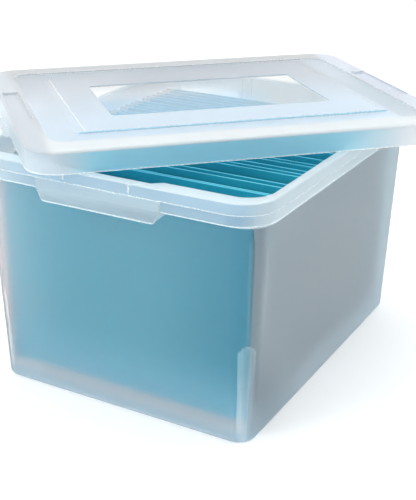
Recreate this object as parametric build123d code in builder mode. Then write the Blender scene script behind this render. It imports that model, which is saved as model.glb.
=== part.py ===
from build123d import *
from math import atan2, cos, degrees, radians, sin, sqrt, tan
import os

# Portable file box: a moulded tote, its loose lid and a set of hanging folders.
# Millimetres. The origin is the centre of the tote's underside, +Z is up, and the
# short side with the near grip faces -Y. The folders stand across the box, and the
# tote's width and height are worked out from theirs.

# Folders: letter-size jackets on steel rods
jacketWidth = 298.0
jacketHeight = 235.0
paper = 0.4
hemDrop = 11.0
hemGap = 1.2
hemBevel = 0.4
foldWidth = 3.0
foldBevel = 0.9
rodHeight = 6.4
rodThick = 1.0
rodSlack = 0.3
hookReach = 6.1
hookDepth = 3.0
hookPlay = 0.6
hookRound = 1.5
hookNeck = 2.0

# Folders: first front flap behind the rim's end, then the step from each front flap
# to the next, and how far the two flaps of each folder gape
firstFolder = 41.0
folderSteps = [36.0, 27.0, 39.0, 20.0, 24.5, 47.0, 24.5, 26.5, 23.5, 27.5, 24.5, 25.5]
folderGapes = [5.4, 5.5, 13.0, 11.0, 17.5, 21.0, 15.0, 12.0, 14.0, 13.0, 12.5, 14.0, 12.0]

# Folders in the tote: clear height under and over them, and clear width beside them
folderClearBelow = 16.4
folderClearAbove = 16.0
railClear = 5.9

# Tote: walls
rimDepth = 454.0
baseCorner = 20.0
wallDraft = 2.3
wall = 2.2
floorThick = 2.6
heelRadius = 6.0

# Tote: the rolled rim round the walls, and the mouth inside it
railInset = 21.6
sideOverhang = 12.0
endOverhang = 18.0
rimCorner = 38.0
upperBand = 12.4
lowerBand = 11.2
bandStep = 1.2
rimRound = 1.6
sideFlange = 9.5
endFlange = 18.8
mouthCorner = 28.0
bayDepth = 8.0
bayWidth = 112.0
baySlant = 10.0
shelfDrop = 28.0

# Tote: grip tab on each short side
gripWidth = 144.0
gripDrop = 12.5
gripProud = 0.8
gripSlant = 7.0
gripCorner = 5.0
gripRise = 5.0

# Tote: hanging rails, snap nibs and nesting pads
railThick = 2.0
railHeight = 8.4
nibSpacing = 76.0
nibWidth = 2.4
nibHeight = 8.0
nibProud = 0.7
nibBelowRim = 5.0
padWidth = 7.0
padDepth = 4.0
padHeight = 106.0
padSlant = 6.0

# Lid: plate, skirt and flange
lidOverlap = 3.5
lidHeight = 24.0
lidCorner = 32.0
lidPlate = 2.2
skirtFlare = 1.2
lidRound = 4.0

# Lid: sunken band, raised panel, clear window and finger pockets
endBorder = 26.1
sideBorder = 28.7
bandSink = 2.3
endBand = 29.4
sideBand = 30.5
bandCorner = 20.0
panelRamp = 10.0
panelCorner = 10.0
windowEndFrame = 39.0
windowSideFrame = 52.8
windowSink = 0.4
windowCorner = 5.0
pocketLength = 126.0
pocketWidth = 18.0
pocketDepth = 4.0
pocketMargin = 3.5
pocketCorner = 3.0

# Lid: lift lips and nubs on the short sides
lipWidth = 76.0
lipReach = 8.0
lipCorner = 3.0
nubSpacing = 176.0
nubWidth = 4.0
nubReach = 2.0

# Lid: how it lies on the open rim
lidTurn = 46.1
lidOffX = -22.25
lidOffY = 31.2

# How far a boss or rib runs into what it stands on, and the bevel that meets the
# middle of a round of the same size
merge = 0.5
bevelShare = 2 - sqrt(2)

# Tote sizes that follow
railSpacing = jacketWidth + 2 * railClear + railThick
rimWidth = railSpacing + 2 * railInset
toteHeight = floorThick + folderClearBelow + jacketHeight + folderClearAbove
shelfHeight = toteHeight - shelfDrop
shelfBottom = shelfHeight - wall
railTop = shelfHeight + railHeight
wallTopWidth = rimWidth - 2 * sideOverhang
wallTopDepth = rimDepth - 2 * endOverhang
wallSpread = shelfHeight * tan(radians(wallDraft))
baseWidth = wallTopWidth - 2 * wallSpread
baseDepth = wallTopDepth - 2 * wallSpread
creaseZ = toteHeight - upperBand
rimBottom = creaseZ - lowerBand
gripBottom = rimBottom - gripDrop
mouthWidth = rimWidth - 2 * sideFlange
mouthDepth = rimDepth - 2 * endFlange
bandInner = rimDepth / 2 - bandStep - wall
gripFace = rimDepth / 2 + gripProud

# Lid sizes that follow
lidLength = rimDepth + 2 * lidOverlap
lidWidth = rimWidth + 2 * lidOverlap
bandLength = lidLength - 2 * endBorder
bandWidth = lidWidth - 2 * sideBorder
panelLength = bandLength - 2 * (endBand + panelRamp)
panelWidth = bandWidth - 2 * sideBand
windowLength = panelLength - 2 * windowEndFrame
windowWidth = panelWidth - 2 * windowSideFrame
skirtDraft = degrees(atan2(skirtFlare, lidHeight))

# Folder sizes that follow
folderTop = toteHeight - folderClearAbove
folderBottom = folderTop - jacketHeight
rodLength = railSpacing + 2 * hookReach
rodTop = folderTop - paper - rodSlack
rodBottom = rodTop - rodHeight


def rounded(width, depth, corner, grow=0.0, mode=Mode.ADD):
    """Rounded rectangle, grown on every side; its corners grow with it."""
    RectangleRounded(width + 2 * grow, depth + 2 * grow, corner + grow, mode=mode)


def wallOutline(height, inset=0.0, mode=Mode.ADD):
    """Section of the drafted walls at a height, inset from their outer face."""
    rounded(baseWidth, baseDepth, baseCorner, height * tan(radians(wallDraft)) - inset, mode)


def mouthOutline(grow=0.0, mode=Mode.ADD):
    """Opening of the tote: a rounded rectangle with a bay in each short side."""
    with BuildSketch(mode=Mode.PRIVATE) as outline:
        rounded(mouthWidth, mouthDepth, mouthCorner, grow)
        for side in (-1, 1):
            root = side * (mouthDepth / 2 - merge)
            edge = side * (mouthDepth / 2 + grow)
            end = side * (mouthDepth / 2 + bayDepth + grow)
            half = bayWidth / 2 + grow
            wide = half + baySlant
            Polygon((-wide, root), (-wide, edge), (-half, end), (half, end), (wide, edge), (wide, root), align=None)
    add(outline.sketch, mode=mode)


def gripOutline(top, inset=0.0, corner=0.0, mode=Mode.ADD):
    """Face of a grip tab, narrower at its foot; the inset moves only its two ends."""
    half = gripWidth / 2 - inset
    foot = half - gripSlant
    with BuildSketch(mode=Mode.PRIVATE) as outline:
        Polygon(
            (-half, top),
            (-half, rimBottom),
            (-foot, gripBottom),
            (foot, gripBottom),
            (half, rimBottom),
            (half, top),
            align=None,
        )
        if corner > 0:
            fillet(outline.vertices().group_by(Axis.Y)[0], corner)
    add(outline.sketch, mode=mode)


def endPlane(side, distance):
    """Upright plane facing out of a short side, with its own Y pointing up."""
    return Plane(origin=(0, side * distance, 0), x_dir=(-side, 0, 0), z_dir=(0, side, 0))


def cornerPlane(sideX, sideY, height):
    """Level plane at the middle of a wall corner's inner face, its X along the wall."""
    spread = height * tan(radians(wallDraft))
    corner = baseCorner + spread
    bulge = corner - (corner - wall) * sqrt(0.5)
    x = baseWidth / 2 + spread - bulge
    y = baseDepth / 2 + spread - bulge
    return Plane(origin=(sideX * x, sideY * y, height), x_dir=(-sideY, sideX, 0), z_dir=(0, 0, 1))


def gripWebs(side):
    """Ends of a grip tab, carried back to the wall and the collar above it."""
    wallFace = (wallTopDepth - wall) / 2
    collarFace = (mouthDepth + wall) / 2
    tabFace = gripFace - wall / 2
    with BuildPart() as webs:
        with BuildSketch(Plane.YZ):
            Polygon(
                (side * tabFace, gripBottom + gripCorner / 2),
                (side * wallFace, gripBottom + gripRise),
                (side * wallFace, shelfBottom),
                (side * collarFace, shelfBottom),
                (side * collarFace, creaseZ),
                (side * tabFace, creaseZ - wall / 2),
                align=None,
            )
        extrude(amount=gripWidth / 2, both=True)
        with BuildSketch(endPlane(side, wallFace - merge)):
            gripOutline(toteHeight)
            gripOutline(toteHeight + merge, wall, 0, Mode.SUBTRACT)
        extrude(amount=gripFace - wallFace, mode=Mode.INTERSECT)
    return webs.part


# Tote
with BuildPart() as tote:
    # drafted walls and floor
    with BuildSketch(Plane.XY):
        wallOutline(0)
    extrude(amount=shelfHeight, taper=-wallDraft)
    fillet(tote.edges().group_by(Axis.Z)[0], heelRadius)
    with BuildSketch(Plane.XY.offset(floorThick)):
        wallOutline(floorThick, wall)
    extrude(amount=shelfHeight - floorThick, taper=-wallDraft, mode=Mode.SUBTRACT)
    floorFace = tote.faces().filter_by(Plane.XY).sort_by(Axis.Z)[1]
    chamfer(floorFace.edges(), (heelRadius - wall) * bevelShare)

    # shelf where the walls step out, and the collar that stands on it
    with BuildSketch(Plane.XY.offset(shelfBottom)):
        mouthOutline(wall)
        wallOutline(shelfHeight, wall / 2, Mode.SUBTRACT)
    extrude(amount=wall)
    with BuildSketch(Plane.XY.offset(shelfBottom)):
        mouthOutline(wall)
        mouthOutline(0, Mode.SUBTRACT)
    extrude(amount=toteHeight - shelfBottom)

    # flange, upper band and lower band of the rim
    with BuildSketch(Plane.XY.offset(toteHeight - wall)):
        rounded(rimWidth, rimDepth, rimCorner)
        mouthOutline(0, Mode.SUBTRACT)
    extrude(amount=wall)
    with BuildSketch(Plane.XY.offset(creaseZ)):
        rounded(rimWidth, rimDepth, rimCorner)
        rounded(rimWidth, rimDepth, rimCorner, -wall, Mode.SUBTRACT)
    extrude(amount=upperBand)
    with BuildSketch(Plane.XY.offset(rimBottom)):
        rounded(rimWidth, rimDepth, rimCorner, -bandStep)
        rounded(rimWidth, rimDepth, rimCorner, -bandStep - wall, Mode.SUBTRACT)
    extrude(amount=lowerBand + wall)
    fillet(tote.faces().sort_by(Axis.Z)[-1].outer_wire().edges(), rimRound)

    # hanging rails: a ledge along each long side with an upstanding lip
    with BuildSketch(Plane.XY.offset(shelfBottom)):
        wallOutline(shelfHeight, wall / 2)
        Rectangle(railSpacing - railThick, wallTopDepth, mode=Mode.SUBTRACT)
    extrude(amount=wall)
    with BuildSketch(Plane.XY.offset(shelfBottom)):
        wallOutline(shelfHeight, wall)
        Rectangle(railSpacing - railThick, wallTopDepth, mode=Mode.SUBTRACT)
        Rectangle(railSpacing + railThick, wallTopDepth, mode=Mode.INTERSECT)
    extrude(amount=wall + railHeight)

    # grip tabs: a hollow lip on each short side, open below for the fingers
    for side in (-1, 1):
        with BuildSketch(endPlane(side, bandInner)):
            gripOutline(creaseZ, 0, gripCorner)
        extrude(amount=gripFace - bandInner)
        with BuildSketch(endPlane(side, bandInner - merge)):
            gripOutline(creaseZ - wall, wall)
        extrude(amount=gripFace - wall - bandInner + merge, mode=Mode.SUBTRACT)
        add(gripWebs(side))

    # snap nibs on the upper band
    for side in (-1, 1):
        with BuildSketch(endPlane(side, rimDepth / 2 - merge)):
            for nibX in (-nibSpacing / 2, nibSpacing / 2):
                with Locations((nibX, toteHeight - nibBelowRim)):
                    Rectangle(nibWidth, nibHeight)
        extrude(amount=nibProud + merge)

    # nesting pads: a raised strip up each inner corner, sloped off at its top
    for sideX in (-1, 1):
        for sideY in (-1, 1):
            for low, high, lowDepth, highDepth in (
                (floorThick - merge, padHeight, padDepth, padDepth),
                (padHeight, padHeight + padSlant, padDepth, merge),
            ):
                for height, depth in ((low, lowDepth), (high, highDepth)):
                    with BuildSketch(cornerPlane(sideX, sideY, height)):
                        with Locations((0, -wall / 2)):
                            Rectangle(padWidth, depth + wall / 2, align=(Align.CENTER, Align.MIN))
                loft()
tote.part.label = "tote"


# Lid, lying askew on the rim: its own X runs along its length
lidPlane = Plane(
    origin=(lidOffX, lidOffY, toteHeight),
    x_dir=(cos(radians(lidTurn)), sin(radians(lidTurn)), 0),
    z_dir=(0, 0, 1),
)
lidSide = Plane(origin=lidPlane.origin, x_dir=lidPlane.x_dir, z_dir=-lidPlane.y_dir)


def lidForm(skin):
    """The lid as a solid block, pulled in by a skin so that two of them make a shell."""
    top = lidHeight - skin
    floor = top - bandSink
    rampFoot = panelLength / 2 + panelRamp - skin
    rampHead = panelLength / 2 - skin
    with BuildPart() as form:
        with BuildSketch(lidPlane):
            rounded(lidLength, lidWidth, lidCorner, skirtFlare - skin)
        extrude(amount=top, taper=skirtDraft)
        topEdges = form.edges().group_by(Axis.Z)[-1]
        if skin > 0:
            chamfer(topEdges, (lidRound - skin) * bevelShare)
        else:
            fillet(topEdges, lidRound)

        # band sunk inside the flange, with the panel raised again within it
        with BuildSketch(lidPlane.offset(top)):
            rounded(bandLength, bandWidth, bandCorner, skin)
            rounded(panelLength + 2 * panelRamp, panelWidth, panelCorner, -skin, Mode.SUBTRACT)
        extrude(amount=-bandSink, mode=Mode.SUBTRACT)

        # ramps at the panel's ends
        with BuildSketch(lidSide):
            for end in (-1, 1):
                Polygon((end * rampFoot, floor), (end * rampHead, top), (end * rampFoot, top), align=None)
        extrude(amount=panelWidth / 2, both=True, mode=Mode.SUBTRACT)

        # finger pocket in the flange of each short side
        pocketX = lidLength / 2 - pocketMargin - pocketWidth / 2
        with BuildSketch(lidPlane.offset(top)):
            with Locations((-pocketX, 0), (pocketX, 0)):
                rounded(pocketWidth, pocketLength, pocketCorner, skin)
        extrude(amount=-pocketDepth, mode=Mode.SUBTRACT)
    return form.part


lidOuter = lidForm(0)
lidInner = lidForm(lidPlate)
with BuildPart() as lid:
    add(lidOuter)

    # lift lip and nubs at the foot of each short side's skirt
    with BuildSketch(lidPlane):
        rounded(lidLength + 2 * lipReach, lipWidth, lipCorner)
        for nubY in (-nubSpacing / 2, nubSpacing / 2):
            with Locations((0, nubY)):
                Rectangle(lidLength + 2 * (skirtFlare + nubReach), nubWidth)
    extrude(amount=lidPlate)
    add(lidInner, mode=Mode.SUBTRACT)

    # clear window, a hair below the panel around it
    with BuildSketch(lidPlane.offset(lidHeight)):
        rounded(windowLength, windowWidth, windowCorner)
    extrude(amount=-windowSink, mode=Mode.SUBTRACT)
lid.part.label = "lid"


def jacket(front, gape):
    """One sheet of card hemmed over both rods and folded along scores at the bottom."""
    top = folderTop - paper / 2
    hemLow = folderTop - hemDrop
    outer = (gape - paper) / 2
    inner = outer - hemGap - paper
    foldSide = foldWidth / 2
    foldLow = folderBottom + paper / 2
    rearHalf = [
        (inner, hemLow),
        (inner, top - hemBevel),
        (inner + hemBevel, top),
        (outer - hemBevel, top),
        (outer, top - hemBevel),
        (outer, hemLow),
        (foldSide, foldLow + foldBevel),
        (foldSide - foldBevel, foldLow),
    ]
    frontHalf = [(-y, z) for y, z in rearHalf]
    section = Plane(origin=(-jacketWidth / 2, front + gape / 2, 0), x_dir=(0, 1, 0), z_dir=(1, 0, 0))
    with BuildPart() as sheet:
        with BuildSketch(section):
            with BuildLine():
                Polyline(*frontHalf, *reversed(rearHalf))
            trace(line_width=paper)
        extrude(amount=jacketWidth)
    return sheet.part


def rod(middle):
    """Flat steel rod whose notched ends hook over the rails."""
    notchInner = (railSpacing - railThick) / 2 - hookPlay
    notchOuter = (railSpacing + railThick) / 2 + hookPlay
    end = rodLength / 2
    with BuildPart() as strip:
        with BuildSketch(Plane.XZ.offset(-middle)):
            with BuildLine():
                Polyline(
                    (0, rodBottom),
                    (notchInner - hookNeck - hookDepth, rodBottom),
                    (notchInner - hookNeck, rodBottom - hookDepth),
                    (notchInner, rodBottom - hookDepth),
                    (notchInner, railTop),
                    (notchOuter, railTop),
                    (notchOuter, rodBottom - hookDepth),
                    (end, rodBottom - hookDepth),
                    (end, rodTop - hookRound),
                    (end - hookRound, rodTop),
                    (0, rodTop),
                )
                mirror(about=Plane.YZ)
            make_face()
        extrude(amount=rodThick / 2, both=True)
    return strip.part


# Folders, each a jacket hanging on a front and a rear rod
pieces = [tote.part, lid.part]
front = firstFolder - rimDepth / 2
for index, gape in enumerate(folderGapes):
    if index > 0:
        front += folderSteps[index - 1]
    rodInset = paper + hemGap / 2
    folder = {
        "jacket": jacket(front, gape),
        "front_rod": rod(front + rodInset),
        "rear_rod": rod(front + gape - rodInset),
    }
    for name, piece in folder.items():
        piece.label = f"folder_{index + 1:02d}_{name}"
        pieces.append(piece)

os.makedirs("parts", exist_ok=True)
for piece in pieces:
    export_step(piece, f"parts/{piece.label}.step")
    print(piece.label, piece.bounding_box().size, len(piece.solids()), piece.is_valid, round(piece.volume))
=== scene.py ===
import bmesh
import bpy
from math import cos, degrees, hypot, radians, sin
from mathutils import Matrix, Vector


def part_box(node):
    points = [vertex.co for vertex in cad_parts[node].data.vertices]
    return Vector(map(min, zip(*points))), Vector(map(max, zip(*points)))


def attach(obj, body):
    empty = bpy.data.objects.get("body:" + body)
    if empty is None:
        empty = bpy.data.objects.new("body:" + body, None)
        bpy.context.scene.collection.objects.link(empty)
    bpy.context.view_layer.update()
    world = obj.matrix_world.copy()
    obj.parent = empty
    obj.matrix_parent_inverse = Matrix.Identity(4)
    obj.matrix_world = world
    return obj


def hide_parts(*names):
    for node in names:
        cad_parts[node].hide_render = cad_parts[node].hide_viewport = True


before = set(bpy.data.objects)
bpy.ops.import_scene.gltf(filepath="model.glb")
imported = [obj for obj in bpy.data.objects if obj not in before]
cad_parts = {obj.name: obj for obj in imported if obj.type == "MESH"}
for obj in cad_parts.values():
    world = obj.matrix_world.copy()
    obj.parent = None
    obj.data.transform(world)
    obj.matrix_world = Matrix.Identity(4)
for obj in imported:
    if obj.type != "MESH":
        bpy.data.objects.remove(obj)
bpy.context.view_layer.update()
scene = bpy.context.scene
print("frame loaded:", len(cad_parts), "nodes")


viewpoint = {
    "place": (0.5423, -0.9853, 0.5794),   # metres, in the frame of the tote's underside
    "turn": 28.88,                        # degrees round the box, from straight in front
    "pitch": 22.52,                       # degrees down
    "roll": 0.55,
    "lens": 73.52,                        # mm
    "sensor": 36.0,                       # mm
    "nearest": 0.01,                      # metres; nothing closer is drawn
}


def buildCamera(look):
    data = bpy.data.cameras.new("viewCamera")
    data.lens = look["lens"]
    data.sensor_width = look["sensor"]
    data.clip_start = look["nearest"]
    camera = bpy.data.objects.new("viewCamera", data)
    scene.collection.objects.link(camera)
    turn = Matrix.Rotation(radians(look["turn"]), 4, "Z")
    tip = Matrix.Rotation(radians(90 - look["pitch"]), 4, "X")
    roll = Matrix.Rotation(radians(look["roll"]), 4, "Z")
    camera.matrix_world = Matrix.Translation(look["place"]) @ turn @ tip @ roll
    scene.camera = camera


buildCamera(viewpoint)


studio = {
    "skyLight": 0.85,         # how bright the white surround lights the box
    "floorColour": (0.86, 0.86, 0.86),
    "floorLift": 0.2,         # added for the eye alone, so that the floor meets the white surround
    "floorSize": 6.0,         # metres
    "lamps": {
        # name: (place, size, watts, colour)
        "keyLamp": ((-1.3, -1.9, 2.1), 1.6, 26.0, (1.0, 0.99, 0.97)),
        "topLamp": ((0.2, 0.5, 2.6), 2.0, 22.0, (0.97, 0.99, 1.0)),
    },
    "aim": (0.0, 0.0, 0.14),  # about the middle of the tote
}


# 1 for rays that carry what the eye sees directly, in gloss or through clear plastic
def seenRay(nodes, links):
    path = nodes.new("ShaderNodeLightPath")
    first = nodes.new("ShaderNodeMath")
    first.operation = "MAXIMUM"
    links.new(path.outputs["Is Camera Ray"], first.inputs[0])
    links.new(path.outputs["Is Glossy Ray"], first.inputs[1])
    second = nodes.new("ShaderNodeMath")
    second.operation = "MAXIMUM"
    links.new(first.outputs[0], second.inputs[0])
    links.new(path.outputs["Is Transmission Ray"], second.inputs[1])
    return second.outputs[0]


def buildSurround(look):
    world = bpy.data.worlds.new("whiteSurround")
    world.use_nodes = True
    scene.world = world
    nodes, links = world.node_tree.nodes, world.node_tree.links
    nodes.clear()
    lit = nodes.new("ShaderNodeBackground")
    lit.inputs["Color"].default_value = (1, 1, 1, 1)
    lit.inputs["Strength"].default_value = look["skyLight"]
    seen = nodes.new("ShaderNodeBackground")
    seen.inputs["Color"].default_value = (1, 1, 1, 1)
    seen.inputs["Strength"].default_value = 1.0
    mix = nodes.new("ShaderNodeMixShader")
    output = nodes.new("ShaderNodeOutputWorld")
    links.new(seenRay(nodes, links), mix.inputs[0])
    links.new(lit.outputs[0], mix.inputs[1])
    links.new(seen.outputs[0], mix.inputs[2])
    links.new(mix.outputs[0], output.inputs["Surface"])


def buildFloor(look):
    half = look["floorSize"] / 2
    mesh = bpy.data.meshes.new("floor")
    corners = [(-half, -half, 0), (half, -half, 0), (half, half, 0), (-half, half, 0)]
    mesh.from_pydata(corners, [], [(0, 1, 2, 3)])
    floor = bpy.data.objects.new("floor", mesh)
    scene.collection.objects.link(floor)
    material = bpy.data.materials.new("paleFloor")
    material.use_nodes = True
    nodes, links = material.node_tree.nodes, material.node_tree.links
    nodes.clear()
    matt = nodes.new("ShaderNodeBsdfDiffuse")
    matt.inputs["Color"].default_value = (*look["floorColour"], 1)
    lift = nodes.new("ShaderNodeEmission")
    strength = nodes.new("ShaderNodeMath")
    strength.operation = "MULTIPLY"
    strength.inputs[1].default_value = look["floorLift"]
    links.new(seenRay(nodes, links), strength.inputs[0])
    links.new(strength.outputs[0], lift.inputs["Strength"])
    both = nodes.new("ShaderNodeAddShader")
    output = nodes.new("ShaderNodeOutputMaterial")
    links.new(matt.outputs[0], both.inputs[0])
    links.new(lift.outputs[0], both.inputs[1])
    links.new(both.outputs[0], output.inputs["Surface"])
    mesh.materials.append(material)


def buildLamps(look):
    for name, (place, size, watts, colour) in look["lamps"].items():
        data = bpy.data.lights.new(name, "AREA")
        data.shape = "DISK"
        data.size = size
        data.energy = watts
        data.color = colour
        lamp = bpy.data.objects.new(name, data)
        scene.collection.objects.link(lamp)
        aim = Vector(look["aim"]) - Vector(place)
        lamp.matrix_world = Matrix.Translation(place) @ aim.to_track_quat("-Z", "Y").to_matrix().to_4x4()


buildSurround(studio)
buildFloor(studio)
buildLamps(studio)
scene.view_settings.view_transform = "Standard"
print("camera and studio ready")


# node groups that the materials share
def newGroup(name, inputs, outputs):
    group = bpy.data.node_groups.new(name, "ShaderNodeTree")
    kinds = {tuple: "NodeSocketColor", Vector: "NodeSocketVector", float: "NodeSocketFloat"}
    for label, value in inputs.items():
        socket = group.interface.new_socket(label, in_out="INPUT", socket_type=kinds[type(value)])
        socket.default_value = (*value, 1) if isinstance(value, tuple) else value
    for label, kind in outputs.items():
        group.interface.new_socket(label, in_out="OUTPUT", socket_type=kind)
    return group, group.nodes.new("NodeGroupInput"), group.nodes.new("NodeGroupOutput")


# slow clouding of a colour, as moulded plastic and card have
def buildMottle():
    group, given, result = newGroup(
        "softMottle",
        {"Colour": (0.8, 0.8, 0.8), "Shade": (0.6, 0.6, 0.6), "Scale": 12.0, "Amount": 0.3},
        {"Colour": "NodeSocketColor"},
    )
    nodes, links = group.nodes, group.links
    place = nodes.new("ShaderNodeTexCoord")
    cloud = nodes.new("ShaderNodeTexNoise")
    cloud.inputs["Detail"].default_value = 3.0
    amount = nodes.new("ShaderNodeMath")
    amount.operation = "MULTIPLY"
    mix = nodes.new("ShaderNodeMix")
    mix.data_type = "RGBA"
    links.new(place.outputs["Object"], cloud.inputs["Vector"])
    links.new(given.outputs["Scale"], cloud.inputs["Scale"])
    links.new(cloud.outputs["Fac"], amount.inputs[0])
    links.new(given.outputs["Amount"], amount.inputs[1])
    links.new(amount.outputs[0], mix.inputs["Factor"])
    links.new(given.outputs["Colour"], mix.inputs["A"])
    links.new(given.outputs["Shade"], mix.inputs["B"])
    links.new(mix.outputs["Result"], result.inputs["Colour"])
    return group


# fine even grain in a surface's roughness
def buildGrain():
    group, given, result = newGroup(
        "fineGrain",
        {"Scale": 900.0, "Low": 0.3, "High": 0.5},
        {"Roughness": "NodeSocketFloat"},
    )
    nodes, links = group.nodes, group.links
    place = nodes.new("ShaderNodeTexCoord")
    speck = nodes.new("ShaderNodeTexNoise")
    speck.inputs["Detail"].default_value = 2.0
    span = nodes.new("ShaderNodeMapRange")
    links.new(place.outputs["Object"], speck.inputs["Vector"])
    links.new(given.outputs["Scale"], speck.inputs["Scale"])
    links.new(speck.outputs["Fac"], span.inputs["Value"])
    links.new(given.outputs["Low"], span.inputs["To Min"])
    links.new(given.outputs["High"], span.inputs["To Max"])
    links.new(span.outputs["Result"], result.inputs["Roughness"])
    return group


# one colour passing into another along a direction of the frame
def buildFade():
    group, given, result = newGroup(
        "fadeAlong",
        {"Near": (0.8, 0.8, 0.8), "Far": (0.6, 0.6, 0.6), "Way": Vector((0, 0, 1)), "From": 0.0, "To": 0.1},
        {"Colour": "NodeSocketColor"},
    )
    nodes, links = group.nodes, group.links
    place = nodes.new("ShaderNodeTexCoord")
    along = nodes.new("ShaderNodeVectorMath")
    along.operation = "DOT_PRODUCT"
    span = nodes.new("ShaderNodeMapRange")
    span.interpolation_type = "SMOOTHSTEP"
    mix = nodes.new("ShaderNodeMix")
    mix.data_type = "RGBA"
    links.new(place.outputs["Object"], along.inputs[0])
    links.new(given.outputs["Way"], along.inputs[1])
    links.new(along.outputs["Value"], span.inputs["Value"])
    links.new(given.outputs["From"], span.inputs["From Min"])
    links.new(given.outputs["To"], span.inputs["From Max"])
    links.new(span.outputs["Result"], mix.inputs["Factor"])
    links.new(given.outputs["Near"], mix.inputs["A"])
    links.new(given.outputs["Far"], mix.inputs["B"])
    links.new(mix.outputs["Result"], result.inputs["Colour"])
    return group


mottleGroup = buildMottle()
grainGroup = buildGrain()
fadeGroup = buildFade()
print("shared finishes ready")


def placeGroup(nodes, group, **values):
    node = nodes.new("ShaderNodeGroup")
    node.node_tree = group
    for label, value in values.items():
        isColour = node.inputs[label].type == "RGBA"
        node.inputs[label].default_value = (*value, 1) if isColour else value
    return node


def newMaterial(name):
    material = bpy.data.materials.new(name)
    material.use_nodes = True
    nodes, links = material.node_tree.nodes, material.node_tree.links
    return material, nodes, links, nodes["Principled BSDF"]


def mottled(nodes, look):
    mottle = placeGroup(
        nodes, mottleGroup,
        Colour=look["colour"], Shade=look["shade"], Scale=look["cloud"], Amount=look["clouding"],
    )
    return mottle.outputs["Colour"]


def grained(nodes, links, look, shader):
    low, high = look["rough"]
    grain = placeGroup(nodes, grainGroup, Scale=look["grain"], Low=low, High=high)
    links.new(grain.outputs["Roughness"], shader.inputs["Roughness"])


def faded(nodes, links, colour, far, way, start, end):
    fade = placeGroup(nodes, fadeGroup, Far=far, Way=way, From=start, To=end)
    links.new(colour, fade.inputs["Near"])
    return fade.outputs["Colour"]


# milky translucent plastic that lets lamp light through to what it holds; its fades run from the middle
def frostedPlastic(name, look, middle):
    material, nodes, links, shader = newMaterial(name)
    shader.inputs["Transmission Weight"].default_value = look["clear"]
    shader.inputs["IOR"].default_value = look["ior"]
    colour = mottled(nodes, look)
    for far, way, start, end in look["fades"]:
        offset = middle.dot(way)
        colour = faded(nodes, links, colour, far, way, offset + start, offset + end)
    links.new(colour, shader.inputs["Base Color"])
    grained(nodes, links, look, shader)
    path = nodes.new("ShaderNodeLightPath")
    clear = nodes.new("ShaderNodeBsdfTransparent")
    clear.inputs["Color"].default_value = (*look["lampTint"], 1)
    mix = nodes.new("ShaderNodeMixShader")
    links.new(path.outputs["Is Shadow Ray"], mix.inputs[0])
    links.new(shader.outputs[0], mix.inputs[1])
    links.new(clear.outputs[0], mix.inputs[2])
    links.new(mix.outputs[0], nodes["Material Output"].inputs["Surface"])
    return material


welding = {
    "reach": 0.000005,     # metres; points nearer than this become one
    "flat": 0.4,           # degrees; an edge with less of a bend is needless
    "cut": 1e-7,           # metres; points nearer than this to a cut lie on it
}


# a bmesh of a CAD node with its loose triangles joined and its flat faces cleared of needless edges
def weldedForm(node):
    form = bmesh.new()
    form.from_mesh(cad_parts[node].data)
    bmesh.ops.remove_doubles(form, verts=form.verts, dist=welding["reach"])
    bmesh.ops.dissolve_limit(form, angle_limit=radians(welding["flat"]), verts=form.verts, edges=form.edges)
    bmesh.ops.recalc_face_normals(form, faces=form.faces)
    for layer in list(form.loops.layers.uv.values()):
        form.loops.layers.uv.remove(layer)
    return form


# how a face lies, by the part of its normal along an axis
facing = {
    "level": 0.9,          # along Z, at least
    "upright": 0.3,        # along Z, at most
    "under": -0.5,         # along Z, at most, for a face that looks down
    "side": 0.5,           # along X, at least, for a long side
    "gripEnd": 0.6,        # along X, at least, for the slanted ends of the grip tabs
}

easing = {
    "width": 0.0005,       # metres, along an edge
    "segments": 2,
    "turn": 32.0,          # degrees; a flatter edge belongs to a round
    "rampTurn": 6.0,       # degrees, between two broad and nearly level faces
    "broad": 0.0003,       # square metres
    "share": 0.3,          # of the room that a narrow face leaves
    "leastRoom": 0.0021,   # metres; narrower faces keep their edges as they are
    "evenness": 80,        # how far the broad faces lead the shading
}


def isLevel(face):
    return abs(face.normal.z) > facing["level"]


def isUpright(face):
    return abs(face.normal.z) < facing["upright"]


# eases sharp edges by what their narrower face has room for, and keeps the rest of them crisp
def weighEdges(form):
    weight = form.edges.layers.float.new("bevel_weight_edge")
    for edge in form.edges:
        faces = edge.link_faces
        turn = degrees(edge.calc_face_angle(0))
        broad = all(face.calc_area() > easing["broad"] and isLevel(face) for face in faces)
        if turn < easing["turn"] and not (broad and turn > easing["rampTurn"]):
            continue
        room = min(face.calc_area() / edge.calc_length() for face in faces)
        pointed = min(len(face.verts) for face in faces) == 3
        hidden = min(face.normal.z for face in faces) < facing["under"]
        if room > easing["leastRoom"] and not pointed and not hidden:
            edge[weight] = min(1.0, easing["share"] * room / easing["width"])
        else:
            edge.smooth = False


# a piece with eased edges from a bmesh; the easing takes the last material, the painted highlight
def finishedShell(name, form, node, looks, middle):
    weighEdges(form)
    mesh = bpy.data.meshes.new(name)
    form.to_mesh(mesh)
    form.free()
    for face in mesh.polygons:
        face.use_smooth = True
    for part, look in looks.items():
        mesh.materials.append(frostedPlastic(name + part.capitalize(), look, middle))
    piece = bpy.data.objects.new(name, mesh)
    scene.collection.objects.link(piece)
    ease = piece.modifiers.new("easedEdges", "BEVEL")
    ease.width = easing["width"]
    ease.segments = easing["segments"]
    ease.limit_method = "WEIGHT"
    ease.use_clamp_overlap = False
    ease.miter_outer = "MITER_ARC"
    ease.material = len(looks) - 1
    even = piece.modifiers.new("evenShading", "WEIGHTED_NORMAL")
    even.keep_sharp = True
    even.weight = easing["evenness"]
    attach(piece, node)
    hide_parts(node)


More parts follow.
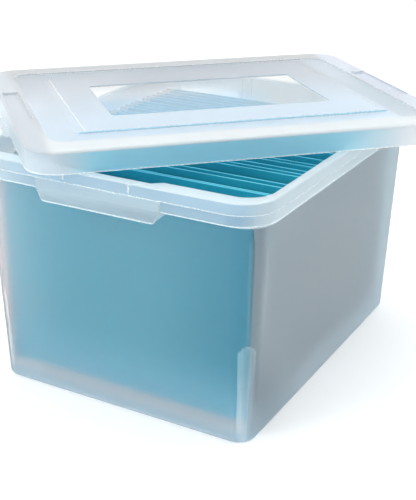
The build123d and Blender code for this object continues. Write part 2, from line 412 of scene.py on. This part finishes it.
across = Vector((1, 0, 0))
upward = Vector((0, 0, 1))
nearFoot = Vector((0, -1, -1))    # forward and down along a long side
lipHeight = 0.0009                # of the strip along the foot of each band that wears the painted highlight
hairline = 0.0003                 # metres; heights nearer than this are one

# metres, from the middle of the tote's underside; these follow the CAD and tell its faces apart
toteShape = {
    "middle": Vector((0, 0, 0)),
    "creaseHeight": 0.2576,       # where the rim's two bands meet
    "rimBottom": 0.2464,
    "rimSlack": 0.0005,           # faces this far below the rim still count as its own
    "gripBottom": 0.2339,
    "gripSlack": 0.001,
    "wallReach": 0.2095,          # half depth of the walls just under the rim
    "sideReach": 0.150,
    "nibReach": 0.2271,           # just outside the upper band
    "gripReach": 0.2225,
    "gripHalf": 0.084,
    "rimHalf": (0.1775, 0.2270),
    "rimCorner": 0.038,
    "bandInset": 0.004,           # the outer bands lie within this of the rim's outline
    "padHeights": (0.0126, 0.113),
    "padReach": (0.12, 0.17),     # the nesting pads lie farther out than this
    "padSides": 6,                # the most that a face of theirs has
    "padArea": 0.0008,            # square metres, of their largest face
}

# colour and shade are the two ends of the clouding, whose size is cloud and whose strength is clouding
# each fade is (colour it ends in, way, where it starts, where it ends), in metres from the middle
# clear is the share of light that goes through, and lampTint what lamp light becomes behind it
toteLook = {
    "wall": {
        "colour": (0.69, 0.78, 0.79), "shade": (0.655, 0.76, 0.775), "cloud": 9.0, "clouding": 0.5,
        # painted light and shade: darker towards the right end, lighter towards the left end and the
        # bottom, bluer at the very foot
        "fades": [
            ((0.49, 0.665, 0.70), across, 0.03, 0.16),
            ((0.96, 0.88, 0.87), -across, 0.05, 0.15),
            ((0.84, 0.86, 0.875), -upward, -0.10, -0.03),
            ((0.70, 0.80, 0.86), -upward, -0.022, -0.006),
        ],
        "clear": 0.925, "ior": 1.25, "grain": 700.0, "rough": (0.54, 0.64), "lampTint": (0.88, 0.94, 0.97),
    },
    # side: the wall plastic made milkier and greyer, standing in for the shade on the long sides, with
    # painted shade darker towards the front foot
    "side": {
        "colour": (0.72, 0.81, 0.86), "shade": (0.66, 0.76, 0.82), "cloud": 9.0, "clouding": 0.5,
        "fades": [((0.55, 0.65, 0.71), nearFoot, 0.04, 0.14)],
        "clear": 0.80, "ior": 1.30, "grain": 700.0, "rough": (0.45, 0.55), "lampTint": (0.85, 0.9, 0.92),
    },
    "pad": {
        "colour": (0.88, 0.95, 0.98), "shade": (0.85, 0.93, 0.96), "cloud": 30.0, "clouding": 0.4,
        "fades": [],
        "clear": 0.62, "ior": 1.40, "grain": 700.0, "rough": (0.30, 0.40), "lampTint": (0.9, 0.95, 0.97),
    },
    "rim": {
        "colour": (0.90, 0.97, 1.0), "shade": (0.85, 0.94, 0.99), "cloud": 14.0, "clouding": 0.4,
        "fades": [],
        "clear": 0.70, "ior": 1.35, "grain": 700.0, "rough": (0.30, 0.40), "lampTint": (0.9, 0.95, 0.97),
    },
    "band": {
        "colour": (0.50, 0.65, 0.76), "shade": (0.48, 0.64, 0.75), "cloud": 14.0, "clouding": 0.4,
        # painted light: lighter towards both ends of the band, most at the corners; the band is also
        # lighter above the crease
        "fades": [
            ((0.66, 0.80, 0.90), upward, 0.2572, 0.2580),
            ((0.84, 0.93, 0.97), across, 0.150, 0.1765),
            ((0.76, 0.86, 0.92), -across, 0.060, 0.125),
            ((0.99, 1.0, 1.0), -across, 0.150, 0.170),
        ],
        "clear": 0.70, "ior": 1.35, "grain": 700.0, "rough": (0.30, 0.40), "lampTint": (0.9, 0.95, 0.97),
    },
    "grip": {
        "colour": (0.71, 0.81, 0.87), "shade": (0.68, 0.79, 0.85), "cloud": 14.0, "clouding": 0.4,
        "fades": [],
        "clear": 0.66, "ior": 1.35, "grain": 700.0, "rough": (0.30, 0.40), "lampTint": (0.9, 0.95, 0.97),
    },
    # edge: a whiter, less clear copy of the plastic, a painted highlight along the eased edges, the strips
    # at the foot of each band, the nibs and the grip ends
    "edge": {
        "colour": (0.95, 0.99, 1.0), "shade": (0.90, 0.97, 1.0), "cloud": 30.0, "clouding": 0.5,
        "fades": [],
        "clear": 0.45, "ior": 1.40, "grain": 700.0, "rough": (0.22, 0.32), "lampTint": (0.93, 0.96, 0.98),
    },
}


toteFeet = [toteShape[height] for height in ("creaseHeight", "rimBottom", "gripBottom")]


# whether a face lies in the outer bands, round the corners as well
def outerFace(face):
    spot, corner = face.calc_center_median(), toteShape["rimCorner"]
    beyond = [max(abs(spot[i]) - toteShape["rimHalf"][i] + corner, 0) for i in (0, 1)]
    return corner - hypot(*beyond) < toteShape["bandInset"]


def cutAlong(form, faces, place, way):
    edges = {edge for face in faces for edge in face.edges}
    verts = {vert for face in faces for vert in face.verts}
    parts = [*verts, *edges, *faces]
    bmesh.ops.bisect_plane(form, geom=parts, dist=welding["cut"], plane_co=place, plane_no=way)


# cuts a strip along the foot of each outer band, for the painted highlight
def cutLips(form, feet, isOuter):
    for foot in feet:
        walls = {face for face in form.faces if isUpright(face) and isOuter(face)}
        cutAlong(form, walls, Vector((0, 0, foot + lipHeight)), upward)


def onLip(face, feet):
    rises = [face.calc_center_median().z - foot for foot in feet]
    inStrip = isUpright(face) and any(-hairline < rise < lipHeight for rise in rises)
    return inStrip or any(abs(rise) < hairline for rise in rises)


def onPad(face):
    spot, normal = face.calc_center_median(), face.normal
    low, high = toteShape["padHeights"]
    isSmall = len(face.verts) <= toteShape["padSides"] and face.calc_area() < toteShape["padArea"]
    inCorner = all(abs(spot[i]) > toteShape["padReach"][i] for i in (0, 1))
    facesIn = normal.x * spot.x < 0 and normal.y * spot.y < 0
    return isSmall and inCorner and facesIn and low < spot.z < high


# which of the tote's looks a face wears
def totePart(face):
    spot, normal = face.calc_center_median(), face.normal
    belowCrease = spot.z < toteShape["creaseHeight"]
    onRim = spot.z > toteShape["rimBottom"] - toteShape["rimSlack"]
    overGrip = spot.z > toteShape["gripBottom"] - toteShape["gripSlack"]
    outward = abs(spot.y) > toteShape["gripReach"]
    isNib = abs(spot.y) > toteShape["nibReach"] and spot.z > toteShape["creaseHeight"]
    isGripEnd = outward and belowCrease and abs(normal.x) > facing["gripEnd"]
    # lips, nibs and grip ends wear the painted highlight
    if outerFace(face) and (onLip(face, toteFeet) or isNib or isGripEnd):
        return "edge"
    if outward and belowCrease and abs(spot.x) < toteShape["gripHalf"]:
        return "grip"
    if onRim and outerFace(face) and (belowCrease or isUpright(face)):
        return "band"
    if onRim or (overGrip and abs(spot.y) > toteShape["wallReach"]):
        return "rim"
    if onPad(face):
        return "pad"
    if abs(normal.x) > max(abs(normal.y), facing["side"]) and abs(spot.x) > toteShape["sideReach"]:
        return "side"
    return "wall"


def sortFaces(form, looks, choose):
    names = list(looks)
    for face in form.faces:
        face.material_index = names.index(choose(face))


toteForm = weldedForm("tote")
cutLips(toteForm, toteFeet, outerFace)
sortFaces(toteForm, toteLook, totePart)
finishedShell("toteShell", toteForm, "tote", toteLook, toteShape["middle"])
print("tote ready")


lidShape = {
    "turn": 46.1,                         # degrees, as the lid lies on the rim
    "middle": Vector((-0.02225, 0.0312, 0.294)),    # metres, at its top
    "windowHalf": (0.126, 0.069),
    "panelHalf": (0.175, 0.1218),
    "bandHalf": (0.2045, 0.1525),
    "slack": 0.0006,
    "rampSlack": 0.003,                   # for what has a slanted or rounded border
    "skirtTop": 0.2895,
    "plateFoot": 0.28,                    # the plate's underside lies higher than this
    "foot": 0.270,
}
lidTurn = radians(lidShape["turn"])
lidAlong = Vector((cos(lidTurn), sin(lidTurn), 0))
lidAcross = upward.cross(lidAlong)
lidLook = {
    "flange": {
        "colour": (0.82, 0.85, 0.86), "shade": (0.79, 0.83, 0.85), "cloud": 9.0, "clouding": 0.4,
        # painted light and shade: white along the near side and greyer towards the far side, an even light
        # grey at both ends
        "fades": [
            ((0.60, 0.62, 0.65), lidAcross, -0.17, -0.05),
            ((0.62, 0.63, 0.64), lidAcross, 0.13, 0.16),
            ((0.72, 0.76, 0.82), lidAlong, 0.20, 0.21),
            ((0.67, 0.71, 0.75), -lidAlong, 0.205, 0.215),
        ],
        "clear": 0.43, "ior": 1.30, "grain": 700.0, "rough": (0.30, 0.40), "lampTint": (0.9, 0.94, 0.96),
    },
    "panel": {
        "colour": (0.80, 0.88, 0.95), "shade": (0.76, 0.86, 0.94), "cloud": 9.0, "clouding": 0.4,
        # painted shade: darker towards the far side and at the right end of the panel
        "fades": [
            ((0.62, 0.65, 0.69), lidAcross, -0.10, 0.12),
            ((0.68, 0.74, 0.79), lidAlong, 0.172, 0.180),
        ],
        "clear": 0.60, "ior": 1.30, "grain": 700.0, "rough": (0.30, 0.40), "lampTint": (0.9, 0.94, 0.96),
    },
    # riser: painted teal, standing in for the folders seen through it
    "riser": {
        "colour": (0.42, 0.78, 0.94), "shade": (0.36, 0.74, 0.92), "cloud": 20.0, "clouding": 0.4,
        "fades": [],
        "clear": 0.80, "ior": 1.30, "grain": 700.0, "rough": (0.25, 0.35), "lampTint": (0.9, 0.94, 0.96),
    },
    # skirt: painted cyan where it hangs over the folders, standing in for them seen through it, and greyer
    # towards both ends
    "skirt": {
        "colour": (0.51, 0.88, 1.0), "shade": (0.46, 0.85, 0.99), "cloud": 9.0, "clouding": 0.4,
        "fades": [
            ((0.79, 0.87, 0.92), -lidAlong, 0.16, 0.205),
            ((0.87, 0.90, 0.94), lidAlong, 0.07, 0.18),
        ],
        "clear": 0.52, "ior": 1.25, "grain": 700.0, "rough": (0.30, 0.40), "lampTint": (0.88, 0.95, 0.98),
    },
    "window": {
        "colour": (0.84, 0.85, 0.87), "shade": (0.82, 0.84, 0.86), "cloud": 9.0, "clouding": 0.4,
        # painted shade darker towards the far side and the right end, and a painted bluish cast of the
        # folders towards the near side
        "fades": [
            ((0.70, 0.715, 0.73), lidAcross, 0.015, 0.07),
            ((0.71, 0.83, 0.92), -lidAcross, -0.03, 0.03),
            ((0.78, 0.79, 0.79), lidAlong, 0.02, 0.08),
        ],
        "clear": 0.74, "ior": 1.02, "grain": 500.0, "rough": (0.0, 0.0005), "lampTint": (0.95, 0.97, 0.98),
    },
    # edge: a whiter, less clear copy of the plastic, a painted highlight along the eased edges and the
    # strip at the foot of the skirt
    "edge": {
        "colour": (0.97, 0.99, 1.0), "shade": (0.92, 0.97, 1.0), "cloud": 30.0, "clouding": 0.5,
        "fades": [],
        "clear": 0.40, "ior": 1.40, "grain": 700.0, "rough": (0.22, 0.32), "lampTint": (0.93, 0.96, 0.98),
    },
}


# whether all of a face lies within a rectangle centred on the lid
def withinLid(face, half, slack):
    spots = [vert.co - lidShape["middle"] for vert in face.verts]
    reaches = ((lidAlong, half[0] + slack), (lidAcross, half[1] + slack))
    return all(abs(spot.dot(way)) < reach for spot in spots for way, reach in reaches)


# which of the lid's looks a face wears
def lidPart(face):
    height = face.calc_center_median().z
    # the strip at the foot of the skirt wears the painted highlight
    if height < lidShape["foot"] + lipHeight:
        return "edge"
    if isLevel(face) and withinLid(face, lidShape["windowHalf"], lidShape["slack"]):
        return "window"
    overSkirt = height > lidShape["skirtTop"]
    if not isLevel(face) and overSkirt and withinLid(face, lidShape["panelHalf"], lidShape["rampSlack"]):
        return "riser"
    if not isLevel(face) and height < lidShape["skirtTop"]:
        return "skirt"
    return "panel" if withinLid(face, lidShape["bandHalf"], lidShape["rampSlack"]) else "flange"


def isUnderside(face):
    return face.normal.z < -facing["level"] and face.calc_center_median().z > lidShape["plateFoot"]


# splits the plate's underside along the window's edges, so that the clear part is clear all through
def cutWindow(form):
    for way, half in zip((lidAlong, lidAcross), lidShape["windowHalf"]):
        for side in (-1, 1):
            under = {face for face in form.faces if isUnderside(face)}
            cutAlong(form, under, lidShape["middle"] + way * half * side, way)


lidForm = weldedForm("lid")
cutLips(lidForm, [lidShape["foot"]], lambda face: True)
cutWindow(lidForm)
sortFaces(lidForm, lidLook, lidPart)
finishedShell("lidShell", lidForm, "lid", lidLook, lidShape["middle"])
print("lid ready")


cardLook = {
    "colour": (0.014, 0.40, 0.57),
    "shade": (0.010, 0.335, 0.50),
    "cloud": 30.0,
    "clouding": 0.5,
    "edge": (0.12, 0.58, 0.72),
    "edgeDepth": 0.0005,      # how far below its top edge a folder catches the light
    "deep": (0.003, 0.075, 0.125),
    "deepFrom": 0.003,        # how far down the folders start to shade one another
    "deepTo": 0.022,
    "grain": 1500.0,
    "rough": (0.45, 0.6),
}


def cardMaterial(name, look, top, isShaded):
    material, nodes, links, shader = newMaterial(name)
    colour = mottled(nodes, look)
    if isShaded:
        start, end = look["deepFrom"] - top, look["deepTo"] - top
        colour = faded(nodes, links, colour, look["deep"], -upward, start, end)
    colour = faded(nodes, links, colour, look["edge"], upward, top - look["edgeDepth"], top)
    links.new(colour, shader.inputs["Base Color"])
    grained(nodes, links, look, shader)
    return material


steelLook = {
    "colour": (0.62, 0.63, 0.64),
    "shade": (0.5, 0.51, 0.52),
    "cloud": 60.0,
    "clouding": 0.5,
    "grain": 1200.0,
    "rough": (0.25, 0.4),
}


def steelMaterial(look):
    material, nodes, links, shader = newMaterial("rodSteel")
    shader.inputs["Metallic"].default_value = 1.0
    links.new(mottled(nodes, look), shader.inputs["Base Color"])
    grained(nodes, links, look, shader)
    return material


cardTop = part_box("folder_01_jacket")[1].z
outerCard = cardMaterial("outerCard", cardLook, cardTop, False)
innerCard = cardMaterial("innerCard", cardLook, cardTop, True)
steel = steelMaterial(steelLook)
for name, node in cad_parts.items():
    if name.startswith("folder_"):
        card = outerCard if name.startswith(("folder_01", "folder_13")) else innerCard
        node.data.materials.clear()
        node.data.materials.append(steel if name.endswith("_rod") else card)
print("folders ready")
